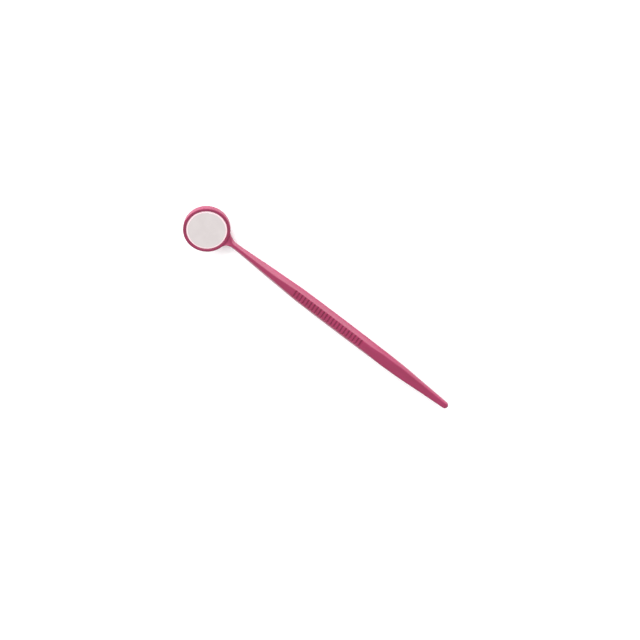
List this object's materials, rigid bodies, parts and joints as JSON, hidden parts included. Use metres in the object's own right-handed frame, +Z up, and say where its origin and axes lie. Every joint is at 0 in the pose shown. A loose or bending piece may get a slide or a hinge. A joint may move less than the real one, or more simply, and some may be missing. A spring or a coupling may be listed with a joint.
{
  "type": "mouth mirror",
  "caption": "Disposable dental mouth mirror: a slim moulded handle with a ribbed grip and a tilted round cup that holds a bonded mirror.",
  "frame": {"origin": "below the middle of the object's length and width, on the surface that it lies on", "axes": "+X along the handle from the tail to the mirror head, +Z up, away from the surface, so that the mirror faces up and back towards the tail"},
  "size_m": [0.171, 0.0254, 0.0153],
  "materials": {
    "plum_plastic": "glossy injection-moulded polystyrene, plum",
    "clear_glass": "clear glass with a ground bevelled edge",
    "silver_mirror": "vacuum-coated front-surface mirror",
    "adhesive": "cured adhesive"
  },
  "bodies": {
    "root": {"handle_moulding": "plum_plastic", "mirror_glass": "clear_glass", "silver_coating": "silver_mirror", "adhesive_pad": "adhesive"}
  },
  "joints": []
}
